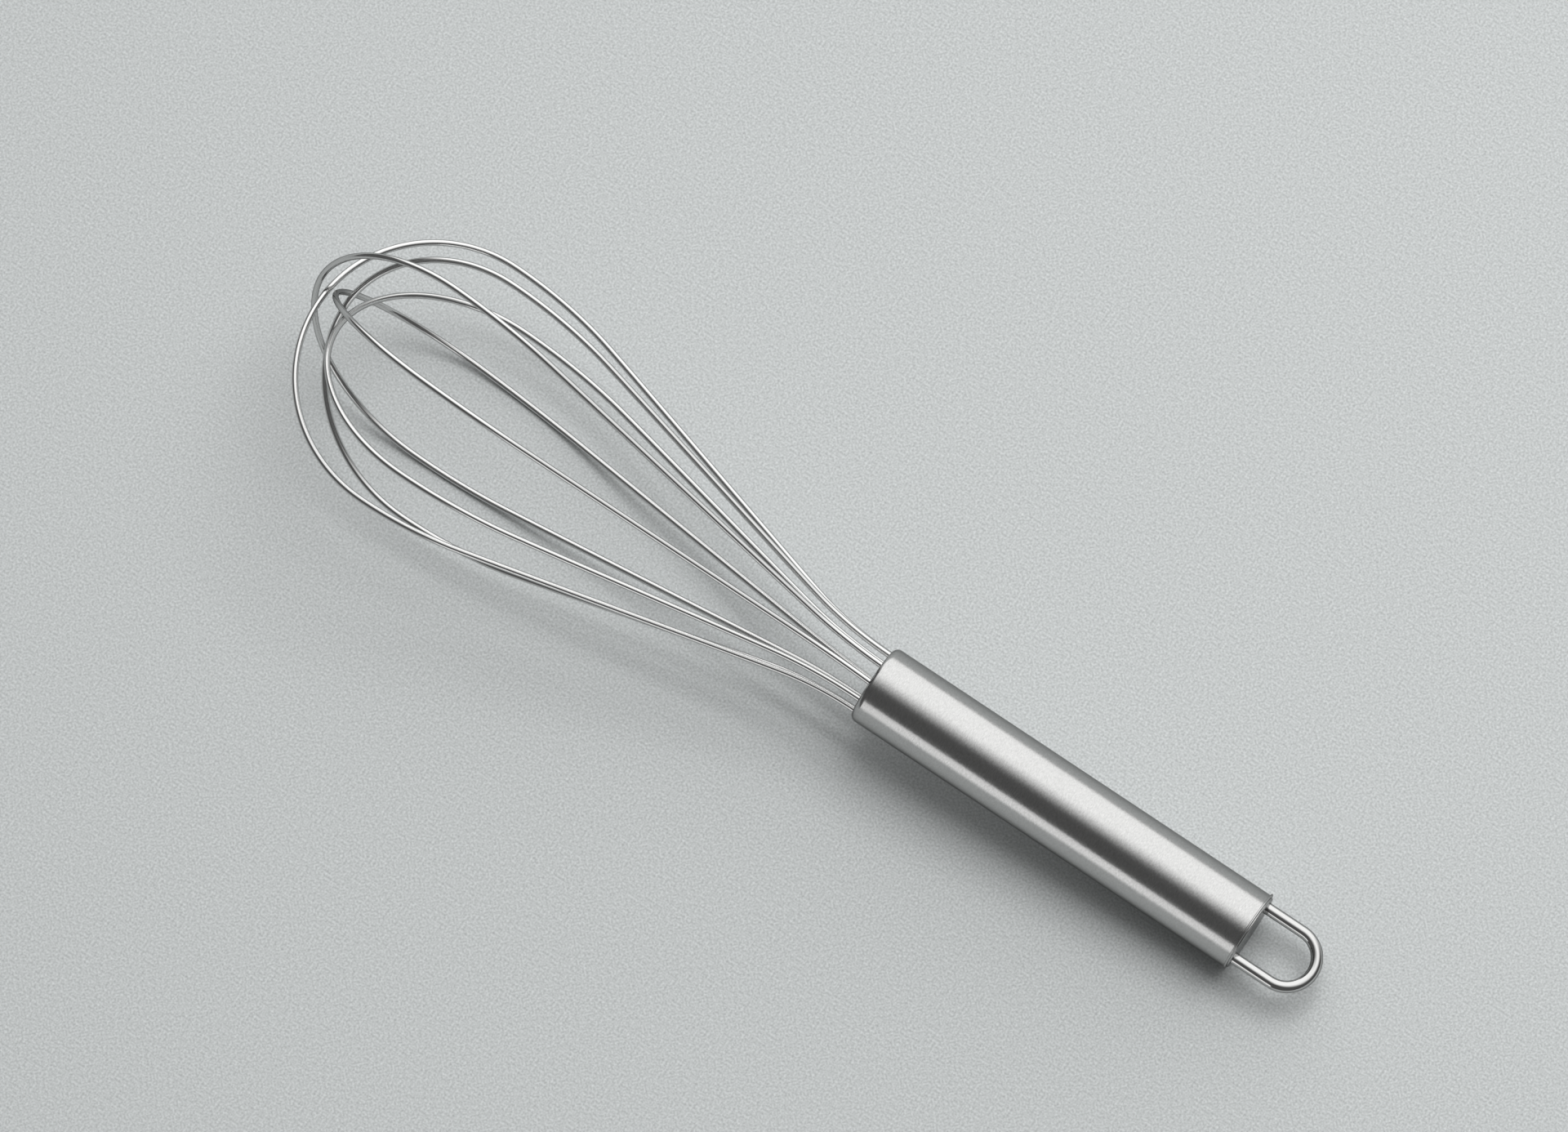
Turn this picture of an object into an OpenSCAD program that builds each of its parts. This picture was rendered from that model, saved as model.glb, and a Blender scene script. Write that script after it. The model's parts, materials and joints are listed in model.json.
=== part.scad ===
// Balloon whisk: five springy steel wire loops set in a tubular handle,
// closed at the far end by a flanged cap that carries a wire hanging eye.
// It lies at rest on its two lowest loops and on the rim of the cap.
// Millimetres. X runs from the balloon to the hanging eye, Z is up.

/* [Handle tube] */
// outer diameter of the handle tube
tube_d = 22; // [18:0.5:28]
// length of the handle tube
tube_len = 116; // [90:1:150]
// sheet thickness of the tube
tube_wall = 0.6; // [0.4:0.1:1]
// outer radius of the rolled-in mouth
mouth_round = 1.8; // [1:0.1:2.5]
// how far the mouth is rolled in, in degrees
mouth_turn = 65; // [40:1:75]

/* [Resin plug] */
// space left between the rolled mouth and the plug
plug_set = 0.6; // [0.3:0.1:2]
// length of the plug that seals the wires into the tube
plug_len = 20; // [15:1:40]
// depth to which the wire ends are set in the plug
wire_grip = 14; // [8:1:14]
// clearance of a wire in its hole in the plug
wire_fit = 0.03; // [0.01:0.01:0.1]

/* [Whisk wires] */
// diameter of the whisk wire
wire_d = 1.7; // [1:0.1:2]
// clearance between the wires and the edge of the mouth
mouth_gap = 0.1; // [0.05:0.05:0.3]
// distance from the mouth to the tip of the longest loop
balloon_len = 178; // [150:1:210]
// outside width of a loop
balloon_w = 77.5; // [65:0.5:90]
// radius of the curve in which each leg flares out of the mouth
flare_r = 95; // [60:1:130]
// radius of the curve at the belly, ahead of the round tip
belly_r = 125; // [80:1:170]
// angle of the first loop's legs at the mouth, from upright
first_foot = -51; // [-70:1:-35]

/* [Loop 1] */
// turn of the loop against its legs at the mouth
turn_1 = -2; // [-12:1:12]
// how much shorter it is than the longest loop
drop_1 = 11; // [9:0.5:14]
// sideways shift of its tip
tip_side_1 = 2.3; // [0:0.1:6]
// upward shift of its tip
tip_up_1 = 1.4; // [-2:0.1:4]
// extra width of its upper leg, taken from the lower one
widen_1 = -0.5; // [-2:0.1:2]

/* [Loop 2] */
// turn of the loop against its legs at the mouth
turn_2 = -7; // [-12:1:12]
// how much shorter it is than the longest loop
drop_2 = 6; // [5.5:0.5:8]
// sideways shift of its tip
tip_side_2 = 7.4; // [4:0.1:9]
// upward shift of its tip
tip_up_2 = 3; // [0:0.1:5]
// extra width of its upper leg, taken from the lower one
widen_2 = -0.5; // [-2:0.1:2]

/* [Loop 3] */
// turn of the loop against its legs at the mouth
turn_3 = -1; // [-12:1:12]
// how much shorter it is than the longest loop
drop_3 = 0; // [0:0.5:0.5]
// sideways shift of its tip
tip_side_3 = 6.4; // [4:0.1:9]
// upward shift of its tip
tip_up_3 = 1.4; // [-1:0.1:4]
// extra width of its upper leg, taken from the lower one
widen_3 = 1; // [-2:0.1:2]

/* [Loop 4] */
// turn of the loop against its legs at the mouth
turn_4 = -10; // [-12:1:12]
// how much shorter it is than the longest loop
drop_4 = 9; // [8.5:0.5:9.5]
// sideways shift of its tip
tip_side_4 = 3.5; // [1:0.1:6]
// upward shift of its tip
tip_up_4 = -0.8; // [-3:0.1:2]
// extra width of its upper leg, taken from the lower one
widen_4 = 0; // [-2:0.1:2]

/* [Loop 5] */
// turn of the loop against its legs at the mouth
turn_5 = 1; // [-12:1:12]
// how much shorter it is than the longest loop
drop_5 = 3; // [2.5:0.5:3.5]
// sideways shift of its tip
tip_side_5 = 3.7; // [1:0.1:6]
// upward shift of its tip
tip_up_5 = 2.2; // [0:0.1:4]
// extra width of its right leg, taken from the left one
widen_5 = 2; // [-1:0.1:3]

/* [End cap] */
// how far the flange stands out past the tube
flange_rim = 0.5; // [0.3:0.1:1.5]
// thickness of the flange
flange_t = 0.6; // [0.4:0.1:1.2]
// distance from the edge of the flange to the raised face
flange_ledge = 0.9; // [0.6:0.1:1.5]
// height of the raised face over the flange
face_h = 0.5; // [0.3:0.1:2]
// radius of the edge of the raised face
face_round = 0.4; // [0.2:0.1:1.1]
// sheet thickness of the cap
cap_sheet = 0.6; // [0.4:0.1:1]
// length of the skirt inside the tube
skirt_len = 8; // [5:0.5:15]
// clearance between the skirt and the tube
cap_fit = 0.05; // [0.02:0.01:0.1]

/* [Hanging eye] */
// diameter of the eye's wire
eye_wire_d = 3.2; // [2:0.1:3.6]
// clearance between the legs and the skirt inside the cap
eye_set = 0.25; // [0.25:0.05:0.5]
// straight length of the legs outside the cap
eye_leg = 11; // [4:0.5:20]
// clearance of the legs in the holes of the cap
eye_fit = 0.1; // [0.05:0.05:0.2]
// inner radius of the bend that turns each leg inward behind the cap
hook_round = 0.8; // [0.5:0.1:1.2]
// length of the turned-in end past its bend
hook_len = 2; // [0.5:0.5:3]

/* [Hidden] */
$fn = 48;

loops = 5;
wire_sides = 12;
flare_steps = 5;
belly_steps = 5;
tip_steps = 15;
turn = [turn_1, turn_2, turn_3, turn_4, turn_5];
drop = [drop_1, drop_2, drop_3, drop_4, drop_5];
tip_side = [tip_side_1, tip_side_2, tip_side_3, tip_side_4, tip_side_5];
tip_up = [tip_up_1, tip_up_2, tip_up_3, tip_up_4, tip_up_5];
widen = [widen_1, widen_2, widen_3, widen_4, widen_5];

tube_r = tube_d / 2;
bore_r = tube_r - tube_wall;
wire_r = wire_d / 2;
// the rolled mouth, as an arc about this point in the tube's section
roll_r = tube_r - mouth_round;
mouth_r = roll_r + (mouth_round - tube_wall) * cos(mouth_turn);
foot_r = mouth_r - mouth_gap - wire_r;
plug_x = mouth_round + plug_set;
tail = plug_x + wire_grip;

flange_r = tube_r + flange_rim;
face_r = flange_r - flange_ledge;
face_x = tube_len + flange_t + face_h;
// room for a round edge between the holes of the eye and the side of the face
face_land = 0.05;
skirt_r = bore_r - cap_fit;
cap_bore_r = skirt_r - cap_sheet;
eye_wire_r = eye_wire_d / 2;
eye_r = cap_bore_r - eye_set - eye_wire_r;
eye_x = face_x + eye_leg;
eye_hole_r = eye_wire_r + eye_fit;
hook_r = hook_round + eye_wire_r;
hook_x = face_x - cap_sheet;
face_edge = min(face_round, face_h, face_r - eye_r - eye_hole_r - face_land);

// a loop's own directions: across it toward its upper leg, and square to it
function across(a) = [0, sin(a), cos(a)];
function square_to(a) = [0, cos(a), -sin(a)];

// one half of a loop, s = 1 for the upper leg and -1 for the lower:
// [origin, across, forward, foot, half width, tip, arc centre height, lean out of the mouth]
function half(i, s) =
    let (foot_a = first_foot + i * 180 / loops, a = foot_a + turn[i],
        tip = [0, tip_side[i], tip_up[i]],
        foot = foot_r * cos(foot_a - a), off = s * foot_r * sin(foot_a - a),
        width = balloon_w / 2 - wire_r + s * widen[i],
        tip_in = s * (tip * across(a)), lean = tip * square_to(a) - off,
        reach = balloon_len - drop[i], slant = norm([reach, lean]),
        high = slant - (width - tip_in),
        bend = min(flare_r + belly_r, 0.97 * (pow(width - foot, 2) + pow(high, 2)) / 2 / (width - foot)),
        straight = sqrt(pow(width - foot, 2) - 2 * (width - foot) * bend + pow(high, 2)),
        splay = atan2(high, bend - width + foot) - atan2(straight, bend))
    [off * square_to(a), s * across(a), (lean * square_to(a) - [reach, 0, 0]) / slant,
        foot, width, tip_in, high, bend, straight, splay];

function in_space(h, p) = h[0] + h[1] * p[0] + h[2] * p[1];

// stations along a half, from the end in the plug to the tip: [across, forward, splay of the wire]
function stations(h) =
    let (f = h[7] * flare_r / (flare_r + belly_r), b = h[7] - f, t = h[4] - h[5], a = h[9])
    concat([[h[3], -tail, 0], [h[3], 0, 0]],
        [for (k = [1:flare_steps]) let (d = a * k / flare_steps) [h[3] + f * (1 - cos(d)), f * sin(d), d]],
        [for (k = [0:belly_steps]) let (d = a * (1 - k / belly_steps)) [h[4] - b * (1 - cos(d)), h[6] - b * sin(d), d]],
        [for (k = [1:tip_steps]) let (d = 90 * k / tip_steps) [h[5] + t * cos(d), h[6] + t * sin(d), -d]]);

wire_points = [for (i = [0:loops - 1], s = [1, -1], h = [half(i, s)], p = stations(h))
    if (p[1] > 0) in_space(h, p)];

// the table under the whisk: it touches the lowest wire on each side and the cap's rim
function unit(v) = v / norm(v);
function lowest(up, side) =
    let (p = [for (q = wire_points) if (q[1] * side > 0) q], h = [for (q = p) q * up])
    p[search(min(h), h)[0]] - wire_r * up;
function rim_low(up) = [tube_len + flange_t, 0, 0] - flange_r * unit([0, up[1], up[2]]);
function settle(up, n) = n == 0 ? up :
    settle(unit(cross(rim_low(up) - lowest(up, -1), lowest(up, 1) - lowest(up, -1))), n - 1);
up = settle([0, 0, 1], 5);
ahead = unit([1, 0, 0] - up[0] * up);
aside = cross(up, ahead);
lie_x = concat([for (p = wire_points) p * ahead - wire_r], [ahead[0] * (eye_x + eye_r) + eye_wire_r]);
lie_y = [for (p = wire_points) p * aside];

module lying()
    multmatrix([concat(ahead, -(min(lie_x) + max(lie_x)) / 2), concat(aside, -(min(lie_y) + max(lie_y)) / 2),
        concat(up, -rim_low(up) * up), [0, 0, 0, 1]])
        children();

module placed(h)
    multmatrix([for (r = [0:2]) [h[1][r], h[2][r], cross(h[1], h[2])[r], h[0][r]]]) children();

// the ring of points round the wire at a station; side keeps both halves turning the same way
function ring(h, p, side) =
    let (out = h[1] * cos(p[2]) - h[2] * sin(p[2]), square = side * cross(h[1], h[2]))
    [for (k = [0:wire_sides - 1]) let (a = k * 360 / wire_sides)
        in_space(h, p) + wire_r * (out * cos(a) + square * sin(a))];

module whisk_wire(i)
    color("silver") lying() {
        upper = half(i, 1);
        lower = half(i, -1);
        up_way = stations(upper);
        down_way = stations(lower);
        rings = concat([for (p = up_way) ring(upper, p, 1)],
            [for (k = [len(down_way) - 2:-1:0]) ring(lower, down_way[k], -1)]);
        n = wire_sides;
        last = len(rings) - 1;
        polyhedron([for (r = rings) each r],
            concat([[for (k = [0:n - 1]) k]], [[for (k = [n - 1:-1:0]) last * n + k]],
                [for (j = [0:last - 1], k = [0:n - 1]) each let (m = (k + 1) % n)
                    [[j * n + k, (j + 1) * n + k, (j + 1) * n + m], [j * n + k, (j + 1) * n + m, j * n + m]]]));
    }
module whisk_wire_1() whisk_wire(0);
module whisk_wire_2() whisk_wire(1);
module whisk_wire_3() whisk_wire(2);
module whisk_wire_4() whisk_wire(3);
module whisk_wire_5() whisk_wire(4);

// the handle's parts are drawn as sections, radius across and X up, and spun about X
module spun() rotate([0, 90, 0]) rotate_extrude($fn = 96) children();

module handle_tube()
    color("lightsteelblue") lying() spun() {
        translate([bore_r, mouth_round]) square([tube_wall, tube_len - mouth_round]);
        translate([roll_r, mouth_round]) intersection() {
            difference() {
                circle(r = mouth_round);
                circle(r = mouth_round - tube_wall);
            }
            polygon([[0, 0], [2 * mouth_round, 0], [2 * mouth_round, -2 * mouth_round],
                2 * mouth_round * [cos(mouth_turn), -sin(mouth_turn)]]);
        }
    }

module resin_plug()
    color("dimgray") lying() difference() {
        translate([plug_x, 0, 0]) rotate([0, 90, 0]) cylinder(r = bore_r, h = plug_len, $fn = 96);
        for (i = [0:loops - 1], s = [1, -1])
            placed(half(i, s)) translate([half(i, s)[3], 0, 0]) rotate([90, 0, 0])
                cylinder(r = wire_r + wire_fit, h = tail);
    }

module end_cap()
    color("gainsboro") lying() difference() {
        spun() difference() {
            union() {
                translate([0, tube_len - skirt_len]) square([skirt_r, skirt_len + flange_t]);
                translate([0, tube_len]) square([flange_r - flange_t / 2, flange_t]);
                translate([flange_r - flange_t / 2, tube_len + flange_t / 2]) intersection() {
                    circle(d = flange_t);
                    translate([0, -flange_t]) square([flange_t, 2 * flange_t]);
                }
                translate([0, tube_len]) square([face_r - face_edge, face_x - tube_len]);
                translate([0, tube_len]) square([face_r, face_x - face_edge - tube_len]);
                translate([face_r - face_edge, face_x - face_edge]) intersection() {
                    circle(r = face_edge);
                    square(face_edge);
                }
            }
            translate([-1, tube_len - skirt_len - 1])
                square([cap_bore_r + 1, face_x - cap_sheet - tube_len + skirt_len + 1]);
        }
        for (s = [1, -1])
            translate([tube_len, s * eye_r, 0]) rotate([0, 90, 0])
                cylinder(r = eye_hole_r, h = face_x - tube_len + 1);
    }

module hanging_eye()
    color("silver") lying() {
        translate([eye_x, 0, 0]) rotate([0, 0, -90]) rotate_extrude(angle = 180, $fn = 96)
            translate([eye_r, 0]) circle(r = eye_wire_r);
        for (s = [1, -1]) {
            translate([hook_x, s * eye_r, 0]) rotate([0, 90, 0])
                cylinder(r = eye_wire_r, h = eye_x - hook_x);
            translate([hook_x, s * (eye_r - hook_r), 0]) rotate([0, 0, s > 0 ? 90 : 180])
                rotate_extrude(angle = 90, $fn = 96) translate([hook_r, 0]) circle(r = eye_wire_r);
            translate([hook_x - hook_r, s * (eye_r - hook_r), 0]) rotate([s * 90, 0, 0])
                cylinder(r = eye_wire_r, h = hook_len);
        }
    }

handle_tube();
resin_plug();
whisk_wire_1();
whisk_wire_2();
whisk_wire_3();
whisk_wire_4();
whisk_wire_5();
end_cap();
hanging_eye();
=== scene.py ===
"""Steel balloon whisk lying on a sheet of pale paper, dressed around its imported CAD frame."""
import json
import math

import bmesh
import bpy
from bpy.props import FloatProperty, FloatVectorProperty, IntProperty, PointerProperty
from mathutils import Matrix, Vector


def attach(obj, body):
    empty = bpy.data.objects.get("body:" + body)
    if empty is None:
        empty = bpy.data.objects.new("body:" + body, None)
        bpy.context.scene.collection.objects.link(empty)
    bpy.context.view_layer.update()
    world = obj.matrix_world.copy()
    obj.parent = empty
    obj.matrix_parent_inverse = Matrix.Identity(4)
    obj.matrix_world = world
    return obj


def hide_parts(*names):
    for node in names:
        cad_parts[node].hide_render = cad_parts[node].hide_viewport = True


bl_info = {
    "name": "Balloon Whisk",
    "version": (1, 0, 0),
    "blender": (4, 5, 0),
    "location": "View3D > Sidebar > Whisk",
    "description": "Dresses a balloon whisk in drawn wire, satin tube and polished eye",
    "category": "Object",
}

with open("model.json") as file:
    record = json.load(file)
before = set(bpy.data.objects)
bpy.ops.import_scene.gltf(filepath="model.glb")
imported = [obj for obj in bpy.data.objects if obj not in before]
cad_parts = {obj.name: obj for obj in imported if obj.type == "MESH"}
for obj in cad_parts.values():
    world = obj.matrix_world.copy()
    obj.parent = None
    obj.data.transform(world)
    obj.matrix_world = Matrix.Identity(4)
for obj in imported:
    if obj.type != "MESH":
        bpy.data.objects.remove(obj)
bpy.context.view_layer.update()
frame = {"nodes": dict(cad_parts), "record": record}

MM = 0.001
BODY = "root"
WIRES = sorted(name for name in frame["nodes"] if name.startswith("whisk_wire"))
MOUNTS = {mount["name"]: mount for mount in frame["record"]["mounts"]}
SENSOR_WIDTH = 36

# share of the radius that subdividing takes off a twelve-sided wire
ROUNDING_LOSS = 0.035
# corners of the CAD triangles closer than this are one corner
MERGE_DISTANCE = 0.01 * MM
# two triangles that fold less than this make one four-sided face, whatever its corners
FLAT_FOLD = math.radians(30)
ANY_CORNER = math.radians(180)

# the soft-edged window that the steel reflects, in degrees tilted from overhead toward +Y and turned toward
# +X: where it begins, where it is full, where it stops being full and where it ends
WINDOW = {"tilt": (-20, 26, 81, 94), "side": (-64, -44, 8, 50), "level": 1.55}
# the window leans: its sides shift by this share of the tilt past the pivot
WINDOW_LEAN = 0.15
WINDOW_PIVOT = math.radians(40)
WHITE = (1, 1, 1, 1)

# the lamps, in metres: where each hangs, what it is turned to, and its width and height
KEY = {"place": (0.15, 0.62, 1.4), "target": (0, 0, 0), "size": (1.1, 0.9)}
CARD = {"place": (0.07, -0.385, 0.112), "target": (0.07, 0, 0.112), "size": (0.24, 0.18)}
# the paper, in metres from its middle to its edge, and the squares along each side
PAPER_HALF_WIDTH = 6.0
PAPER_SQUARES = 8


def linear(text):
    """A hex sRGB colour as linear red, green, blue and alpha."""
    parts = [int(text[k:k + 2], 16) / 255 for k in (1, 3, 5)]
    return [p / 12.92 if p <= 0.04045 else ((p + 0.055) / 1.055) ** 2.4 for p in parts] + [1.0]


def handle_axes():
    """The handle's own frame, from the middle of the grip: X along it toward the eye, Y level across it."""
    grip = MOUNTS["handle_grip"]
    along = Vector(grip["axis"]).normalized()
    across = (Vector((0, 1, 0)) - along * along.y).normalized()
    turn = Matrix((along, across, along.cross(across))).transposed()
    return Matrix.Translation(grip["pos_m"]) @ turn.to_4x4()


class WhiskShape(bpy.types.PropertyGroup):
    """The drawn wire's size and how finely it is rounded"""
    wire_rounding: IntProperty(
        name="Wire rounding", description="Subdivision steps that round the drawn wire",
        default=2, min=0, max=3)
    wire_d: FloatProperty(
        name="Wire diameter", description="Diameter of the drawn wire",
        default=1.7 * MM, subtype="DISTANCE", unit="LENGTH")


class WhiskFinish(bpy.types.PropertyGroup):
    """Colours, roughness and the sizes of the marks on each finish"""
    steel: FloatVectorProperty(
        name="Satin steel", description="Colour of the satin handle and cap",
        subtype="COLOR", size=4, default=linear("#b8b8b7"))
    wire: FloatVectorProperty(
        name="Drawn steel", description="Colour of the drawn wire",
        subtype="COLOR", size=4, default=linear("#cfcfce"))
    polished: FloatVectorProperty(
        name="Polished steel", description="Colour of the polished hanging eye",
        subtype="COLOR", size=4, default=linear("#c1c1c0"))
    resin: FloatVectorProperty(
        name="Resin", description="Colour of the cast resin plug",
        subtype="COLOR", size=4, default=linear("#8b8c88"))
    mark_width: FloatProperty(
        name="Belt mark width", description="Width of a belt mark on the satin steel, along the handle",
        default=0.25 * MM, subtype="DISTANCE", unit="LENGTH")
    mark_length: FloatProperty(
        name="Belt mark length", description="Length of a belt mark on the satin steel, round the handle",
        default=0.75 * MM, subtype="DISTANCE", unit="LENGTH")
    handling: FloatProperty(
        name="Handling", description="Size of a patch that hands have left on the satin steel",
        default=14 * MM, subtype="DISTANCE", unit="LENGTH")
    fleck: FloatProperty(
        name="Fleck", description="Size of a fleck on the drawn wire",
        default=0.5 * MM, subtype="DISTANCE", unit="LENGTH")
    haze: FloatProperty(
        name="Haze", description="Size of a patch of haze on the polished eye",
        default=1.6 * MM, subtype="DISTANCE", unit="LENGTH")
    mottle: FloatProperty(
        name="Mottle", description="Size of a grain of filler in the cast resin",
        default=1.2 * MM, subtype="DISTANCE", unit="LENGTH")
    satin_roughness: FloatProperty(
        name="Satin roughness", description="Roughness of the satin steel",
        default=0.205, min=0, max=1, subtype="FACTOR")
    wire_roughness: FloatProperty(
        name="Wire roughness", description="Roughness of the drawn wire",
        default=0.12, min=0, max=1, subtype="FACTOR")
    polished_roughness: FloatProperty(
        name="Polished roughness", description="Roughness of the polished eye",
        default=0.07, min=0, max=1, subtype="FACTOR")


class WhiskStage(bpy.types.PropertyGroup):
    """The paper, the camera and the strength of the lights"""
    paper: FloatVectorProperty(
        name="Paper", description="Colour of the pale paper",
        subtype="COLOR", size=4, default=linear("#b3b6b6"))
    paper_grain: FloatProperty(
        name="Paper grain", description="Size of a speck of the paper, drawn coarse",
        default=0.6 * MM, subtype="DISTANCE", unit="LENGTH")
    azimuth: FloatProperty(
        name="Azimuth", description="Direction of the camera around the whisk",
        default=math.radians(-39.08), subtype="ANGLE", unit="ROTATION")
    elevation: FloatProperty(
        name="Elevation", description="Height of the camera over the horizon",
        default=math.radians(75.01), subtype="ANGLE", unit="ROTATION")
    roll: FloatProperty(
        name="Roll", description="Turn of the camera about its own axis",
        default=math.radians(-17.36), subtype="ANGLE", unit="ROTATION")
    distance: FloatProperty(
        name="Distance", description="Distance from the camera to the point it looks at",
        default=3001 * MM, subtype="DISTANCE", unit="LENGTH")
    aim: FloatVectorProperty(
        name="Aim", description="Point that the camera looks at",
        default=(-14.16 * MM, 9.38 * MM, 32.17 * MM), subtype="TRANSLATION", unit="LENGTH")
    focal_length: FloatProperty(
        name="Focal length", description="Focal length of the lens, in mm of a 36 mm sensor",
        default=266.97)
    key_power: FloatProperty(
        name="Key power", description="Power of the soft key lamp",
        default=16.8, unit="POWER")
    card_power: FloatProperty(
        name="Card power", description="Power of the small white card low beside the handle",
        default=0.16, unit="POWER")
    room: FloatProperty(
        name="Room", description="Brightness of the dim room that the steel reflects",
        default=0.115, min=0, max=1, subtype="FACTOR")


def add_node(tree, kind, settings=None, inputs=None):
    """Adds a node, sets its properties, and fills or links its inputs."""
    node = tree.nodes.new(kind)
    for name, value in (settings or {}).items():
        setattr(node, name, value)
    for name, value in (inputs or {}).items():
        if isinstance(value, bpy.types.NodeSocket):
            tree.links.new(value, node.inputs[name])
        else:
            node.inputs[name].default_value = value
    return node


def new_material(name):
    """An empty material and its tree."""
    material = bpy.data.materials.new(name)
    material.use_nodes = True
    material.node_tree.nodes.clear()
    return material, material.node_tree


def satin_steel(name, finish):
    """Stainless steel 18/10, turned against a fine belt: soft bands, with faint marks round the tube.

    The real marks are several times finer. They are drawn coarser here, so that they show."""
    marks_on_tone = (0.72, 1.28)
    marks_on_roughness = 0.08
    handling_on_roughness = 0.05
    smoothest = finish.satin_roughness - (marks_on_roughness + handling_on_roughness) / 2
    material, tree = new_material(name)
    place = add_node(tree, "ShaderNodeTexCoord")
    to_handle = handle_axes().inverted()
    turned = add_node(tree, "ShaderNodeMapping", inputs={
        "Vector": place.outputs["Object"], "Location": to_handle.to_translation(),
        "Rotation": to_handle.to_euler()})
    stretched = add_node(tree, "ShaderNodeMapping", inputs={
        "Vector": turned.outputs[0],
        "Scale": (1 / finish.mark_width, 1 / finish.mark_length, 1 / finish.mark_length)})
    marks = add_node(tree, "ShaderNodeTexNoise", inputs={
        "Vector": stretched.outputs[0], "Scale": 1.0, "Detail": 2.0, "Roughness": 0.6})
    value = add_node(tree, "ShaderNodeMapRange", inputs={
        "Value": marks.outputs[0], "To Min": marks_on_tone[0], "To Max": marks_on_tone[1]})
    tone = add_node(tree, "ShaderNodeHueSaturation", inputs={
        "Color": list(finish.steel), "Value": value.outputs[0]})
    handling = add_node(tree, "ShaderNodeTexNoise", inputs={
        "Vector": place.outputs["Object"], "Scale": 1 / finish.handling, "Detail": 2.0})
    handled = add_node(tree, "ShaderNodeMath", {"operation": "MULTIPLY_ADD"}, {
        0: handling.outputs[0], 1: handling_on_roughness, 2: smoothest})
    rough = add_node(tree, "ShaderNodeMath", {"operation": "MULTIPLY_ADD"}, {
        0: marks.outputs[0], 1: marks_on_roughness, 2: handled.outputs[0]})
    bump = add_node(tree, "ShaderNodeBump", inputs={
        "Height": marks.outputs[0], "Strength": 0.5, "Distance": 0.03 * MM})
    shader = add_node(tree, "ShaderNodeBsdfPrincipled", inputs={
        "Base Color": tone.outputs[0], "Metallic": 1.0, "Specular Tint": linear("#b0b0b0"),
        "Roughness": rough.outputs[0], "Normal": bump.outputs[0]})
    add_node(tree, "ShaderNodeOutputMaterial", inputs={"Surface": shader.outputs[0]})
    return material


def drawn_steel(name, finish):
    """Spring-hard stainless wire, drawn through a die: bright, with dark outlines and faint flecks.

    The real flecks are several times finer. They are drawn coarser here, so that they show."""
    flecks_on_roughness = 0.1
    smoothest = finish.wire_roughness - flecks_on_roughness / 2
    material, tree = new_material(name)
    place = add_node(tree, "ShaderNodeTexCoord")
    flecks = add_node(tree, "ShaderNodeTexNoise", inputs={
        "Vector": place.outputs["Object"], "Scale": 1 / finish.fleck, "Detail": 3.0})
    rough = add_node(tree, "ShaderNodeMath", {"operation": "MULTIPLY_ADD"}, {
        0: flecks.outputs[0], 1: flecks_on_roughness, 2: smoothest})
    bump = add_node(tree, "ShaderNodeBump", inputs={
        "Height": flecks.outputs[0], "Strength": 0.05, "Distance": 0.01 * MM})
    shader = add_node(tree, "ShaderNodeBsdfPrincipled", inputs={
        "Base Color": list(finish.wire), "Metallic": 1.0, "Specular Tint": linear("#909090"),
        "Roughness": rough.outputs[0], "Normal": bump.outputs[0]})
    add_node(tree, "ShaderNodeOutputMaterial", inputs={"Surface": shader.outputs[0]})
    return material


def polished_steel(name, finish):
    """Stainless wire, buffed after bending: crisp reflections, dark outlines and a little haze."""
    haze_on_roughness = 0.08
    smoothest = finish.polished_roughness - haze_on_roughness / 2
    material, tree = new_material(name)
    place = add_node(tree, "ShaderNodeTexCoord")
    haze = add_node(tree, "ShaderNodeTexNoise", inputs={
        "Vector": place.outputs["Object"], "Scale": 1 / finish.haze, "Detail": 4.0})
    rough = add_node(tree, "ShaderNodeMath", {"operation": "MULTIPLY_ADD"}, {
        0: haze.outputs[0], 1: haze_on_roughness, 2: smoothest})
    bump = add_node(tree, "ShaderNodeBump", inputs={
        "Height": haze.outputs[0], "Strength": 0.06, "Distance": 0.02 * MM})
    shader = add_node(tree, "ShaderNodeBsdfPrincipled", inputs={
        "Base Color": list(finish.polished), "Metallic": 1.0, "Specular Tint": linear("#505050"),
        "Roughness": rough.outputs[0], "Normal": bump.outputs[0]})
    add_node(tree, "ShaderNodeOutputMaterial", inputs={"Surface": shader.outputs[0]})
    return material


def cast_resin(name, finish):
    """Filled epoxy, poured and cured in the tube: matt, with a soft mottle of its filler."""
    mottle_on_tone = (0.85, 1.15)
    material, tree = new_material(name)
    place = add_node(tree, "ShaderNodeTexCoord")
    mottle = add_node(tree, "ShaderNodeTexNoise", inputs={
        "Vector": place.outputs["Object"], "Scale": 1 / finish.mottle, "Detail": 4.0})
    value = add_node(tree, "ShaderNodeMapRange", inputs={
        "Value": mottle.outputs[0], "To Min": mottle_on_tone[0], "To Max": mottle_on_tone[1]})
    tone = add_node(tree, "ShaderNodeHueSaturation", inputs={
        "Color": list(finish.resin), "Value": value.outputs[0]})
    bump = add_node(tree, "ShaderNodeBump", inputs={
        "Height": mottle.outputs[0], "Strength": 0.3, "Distance": 0.08 * MM})
    shader = add_node(tree, "ShaderNodeBsdfPrincipled", inputs={
        "Base Color": tone.outputs[0], "Roughness": 0.6, "Normal": bump.outputs[0]})
    add_node(tree, "ShaderNodeOutputMaterial", inputs={"Surface": shader.outputs[0]})
    return material


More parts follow.
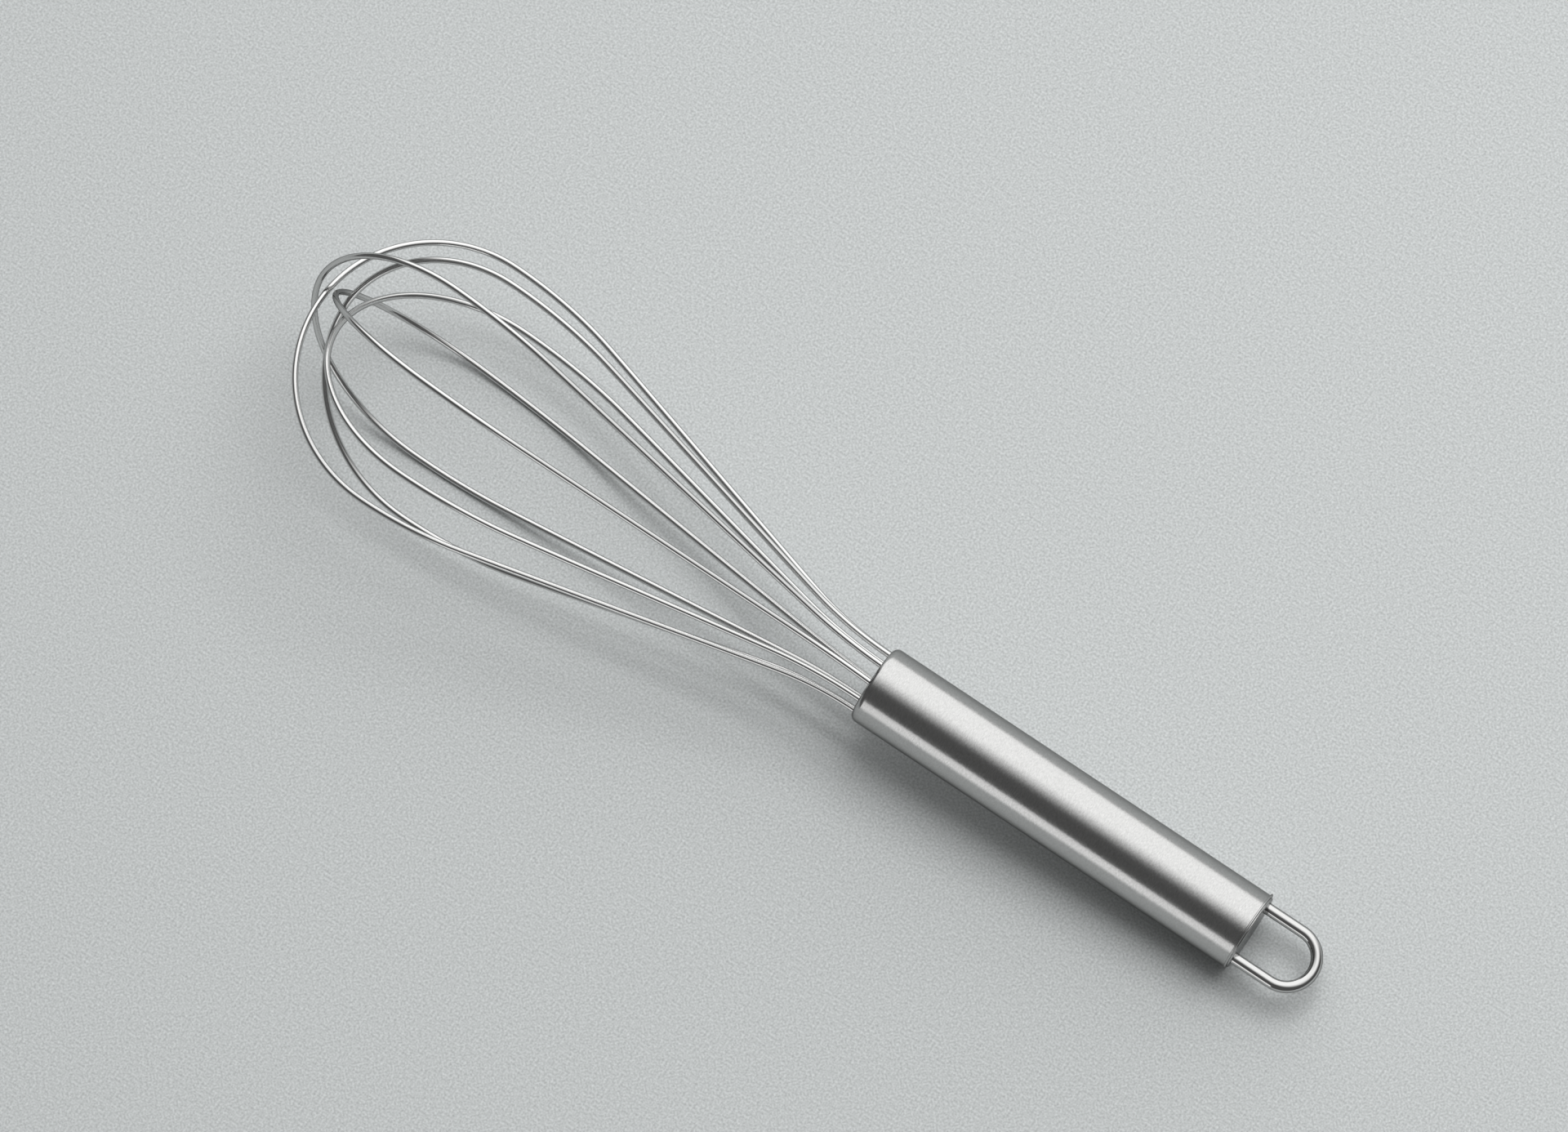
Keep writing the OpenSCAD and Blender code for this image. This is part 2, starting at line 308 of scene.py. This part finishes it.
def pale_paper(name, stage):
    """Matt uncoated paper, pressed on felt: pale cool grey with an even tooth.

    The real tooth is several times finer. It is drawn coarser here, so that it shows."""
    tooth_on_tone = (0.52, 1.48)
    material, tree = new_material(name)
    place = add_node(tree, "ShaderNodeTexCoord")
    tooth = add_node(tree, "ShaderNodeTexNoise", inputs={
        "Vector": place.outputs["Object"], "Scale": 1 / stage.paper_grain, "Detail": 2.0})
    value = add_node(tree, "ShaderNodeMapRange", inputs={
        "Value": tooth.outputs[0], "To Min": tooth_on_tone[0], "To Max": tooth_on_tone[1]})
    tone = add_node(tree, "ShaderNodeHueSaturation", inputs={
        "Color": list(stage.paper), "Value": value.outputs[0]})
    shader = add_node(tree, "ShaderNodeBsdfPrincipled", inputs={
        "Base Color": tone.outputs[0], "Roughness": 0.9, "Specular IOR Level": 0.2})
    add_node(tree, "ShaderNodeOutputMaterial", inputs={"Surface": shader.outputs[0]})
    return material


def soft_window(tree, tilt, side, window):
    """The brightness of the soft-edged window, toward the angles tilt and side."""
    lit = window["level"]
    for angle, (begin, full, over, end) in ((tilt, window["tilt"]), (side, window["side"])):
        for dark, bright in ((begin, full), (end, over)):
            edge = add_node(tree, "ShaderNodeMapRange", {"interpolation_type": "SMOOTHSTEP"}, {
                "Value": angle, "From Min": math.radians(dark), "From Max": math.radians(bright)})
            lit = add_node(tree, "ShaderNodeMath", {"operation": "MULTIPLY"}, {
                0: lit, 1: edge.outputs[0]}).outputs[0]
    return lit


def round_wire(node, shape):
    """A copy of a CAD wire's mesh, merged into four-sided faces and ready to be subdivided."""
    mesh = bmesh.new()
    mesh.from_mesh(node.data)
    bmesh.ops.remove_doubles(mesh, verts=mesh.verts, dist=MERGE_DISTANCE)
    bmesh.ops.join_triangles(
        mesh, faces=mesh.faces, angle_face_threshold=FLAT_FOLD, angle_shape_threshold=ANY_CORNER)
    for face in mesh.faces:
        face.smooth = True
    mesh.normal_update()
    for vert in mesh.verts:
        vert.co += vert.normal * shape.wire_d / 2 * ROUNDING_LOSS
    data = bpy.data.meshes.new(node.name + "_drawn")
    mesh.to_mesh(data)
    mesh.free()
    return data


def dress(node, material):
    """Gives a CAD node its finish."""
    slots = node.material_slots
    if not slots:
        node.data.materials.append(material)
    for slot in slots:
        slot.material = material


class OBJECT_OT_whisk_wires(bpy.types.Operator):
    """Round the five loops of drawn wire"""
    bl_idname = "object.whisk_wires"
    bl_label = "Whisk Wires"

    def execute(self, context):
        shape = context.scene.whisk_shape
        material = drawn_steel("drawn_steel", context.scene.whisk_finish)
        for name in WIRES:
            data = round_wire(frame["nodes"][name], shape)
            data.materials.append(material)
            wire = bpy.data.objects.new(name + "_drawn", data)
            context.scene.collection.objects.link(wire)
            rounding = wire.modifiers.new("Rounding", "SUBSURF")
            rounding.levels = shape.wire_rounding
            rounding.render_levels = shape.wire_rounding
            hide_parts(name)
            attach(wire, BODY)
        return {"FINISHED"}


class OBJECT_OT_whisk_handle(bpy.types.Operator):
    """Finish the handle tube, its plug, the cap and the hanging eye"""
    bl_idname = "object.whisk_handle"
    bl_label = "Whisk Handle"

    def execute(self, context):
        finish = context.scene.whisk_finish
        satin = satin_steel("satin_steel", finish)
        dress(frame["nodes"]["handle_tube"], satin)
        dress(frame["nodes"]["end_cap"], satin)
        dress(frame["nodes"]["hanging_eye"], polished_steel("polished_steel", finish))
        dress(frame["nodes"]["resin_plug"], cast_resin("cast_resin", finish))
        return {"FINISHED"}


class OBJECT_OT_whisk_stage(bpy.types.Operator):
    """Lay the paper, hang the lamps and place the camera"""
    bl_idname = "object.whisk_stage"
    bl_label = "Whisk Stage"

    def execute(self, context):
        stage = context.scene.whisk_stage
        self.lay_paper(context, stage)
        self.light(context, stage)
        self.place_camera(context, stage)
        context.scene.view_settings.view_transform = "Standard"
        return {"FINISHED"}

    def lay_paper(self, context, stage):
        """A flat sheet of paper under the whisk, wide enough to fill every view."""
        mesh = bmesh.new()
        bmesh.ops.create_grid(
            mesh, x_segments=PAPER_SQUARES, y_segments=PAPER_SQUARES, size=PAPER_HALF_WIDTH)
        data = bpy.data.meshes.new("paper")
        mesh.to_mesh(data)
        mesh.free()
        paper = bpy.data.objects.new("paper", data)
        context.scene.collection.objects.link(paper)
        data.materials.append(pale_paper("pale_paper", stage))

    def light(self, context, stage):
        """The dim room with its window, a soft key lamp, and a card that shows only in reflections."""
        self.make_room(context, stage)
        key = self.hang_lamp(context, "key", KEY, stage.key_power)
        key.visible_glossy = False
        card = self.hang_lamp(context, "card", CARD, stage.card_power)
        card.visible_diffuse = False

    def make_room(self, context, stage):
        """A world that is a dim room with one soft-edged window."""
        world = bpy.data.worlds.new("studio")
        world.use_nodes = True
        tree = world.node_tree
        tree.nodes.clear()
        look = add_node(tree, "ShaderNodeTexCoord")
        parts = add_node(tree, "ShaderNodeSeparateXYZ", inputs={0: look.outputs["Generated"]})
        tilt = add_node(tree, "ShaderNodeMath", {"operation": "ARCTAN2"}, {
            0: parts.outputs["Y"], 1: parts.outputs["Z"]})
        side = add_node(tree, "ShaderNodeMath", {"operation": "ARCSINE"}, {0: parts.outputs["X"]})
        past = add_node(tree, "ShaderNodeMath", {"operation": "SUBTRACT"}, {
            0: tilt.outputs[0], 1: WINDOW_PIVOT})
        leant = add_node(tree, "ShaderNodeMath", {"operation": "MULTIPLY_ADD"}, {
            0: past.outputs[0], 1: WINDOW_LEAN, 2: side.outputs[0]})
        window = soft_window(tree, tilt.outputs[0], leant.outputs[0], WINDOW)
        level = add_node(tree, "ShaderNodeMath", {"operation": "ADD"}, {0: window, 1: stage.room})
        glow = add_node(tree, "ShaderNodeBackground", inputs={
            "Color": WHITE, "Strength": level.outputs[0]})
        add_node(tree, "ShaderNodeOutputWorld", inputs={"Surface": glow.outputs[0]})
        context.scene.world = world

    def hang_lamp(self, context, name, lamp, power):
        """An area lamp at its place, turned to its target. The camera doesn't see it."""
        light = bpy.data.lights.new(name, "AREA")
        light.shape = "RECTANGLE"
        light.size, light.size_y = lamp["size"]
        light.energy = power
        hung = bpy.data.objects.new(name, light)
        place = Vector(lamp["place"])
        hung.location = place
        hung.rotation_euler = (Vector(lamp["target"]) - place).to_track_quat("-Z", "Y").to_euler()
        hung.visible_camera = False
        context.scene.collection.objects.link(hung)
        return hung

    def place_camera(self, context, stage):
        """The camera at its distance from the point it looks at, turned about its own axis."""
        away = Vector((
            math.cos(stage.elevation) * math.cos(stage.azimuth),
            math.cos(stage.elevation) * math.sin(stage.azimuth),
            math.sin(stage.elevation)))
        level = Vector((0, 0, 1)).cross(away).normalized()
        turn = Matrix.Rotation(stage.roll, 3, away)
        right = turn @ level
        up = away.cross(right)
        lens = bpy.data.cameras.new("camera")
        lens.sensor_fit = "HORIZONTAL"
        lens.sensor_width = SENSOR_WIDTH
        lens.lens = stage.focal_length
        camera = bpy.data.objects.new("camera", lens)
        place = Matrix((right, up, away)).transposed().to_4x4()
        place.translation = Vector(stage.aim) + away * stage.distance
        camera.matrix_world = place
        context.scene.collection.objects.link(camera)
        context.scene.camera = camera


class VIEW3D_PT_whisk(bpy.types.Panel):
    """The whisk's sizes, finishes and stage, and the operators that make them"""
    bl_label = "Balloon Whisk"
    bl_idname = "VIEW3D_PT_whisk"
    bl_space_type = "VIEW_3D"
    bl_region_type = "UI"
    bl_category = "Whisk"

    def draw(self, context):
        for group in (context.scene.whisk_shape, context.scene.whisk_finish, context.scene.whisk_stage):
            box = self.layout.box()
            for name in group.__annotations__:
                box.prop(group, name)
        for operator in OPERATORS:
            self.layout.operator(operator.bl_idname)


OPERATORS = (OBJECT_OT_whisk_wires, OBJECT_OT_whisk_handle, OBJECT_OT_whisk_stage)
CLASSES = (WhiskShape, WhiskFinish, WhiskStage) + OPERATORS + (VIEW3D_PT_whisk,)
GROUPS = {"whisk_shape": WhiskShape, "whisk_finish": WhiskFinish, "whisk_stage": WhiskStage}


def register():
    for item in CLASSES:
        bpy.utils.register_class(item)
    for name, group in GROUPS.items():
        setattr(bpy.types.Scene, name, PointerProperty(type=group))


def unregister():
    for name in GROUPS:
        delattr(bpy.types.Scene, name)
    for item in reversed(CLASSES):
        bpy.utils.unregister_class(item)


def main():
    register()
    bpy.ops.object.whisk_wires()
    bpy.ops.object.whisk_handle()
    bpy.ops.object.whisk_stage()


if __name__ == "__main__":
    main()
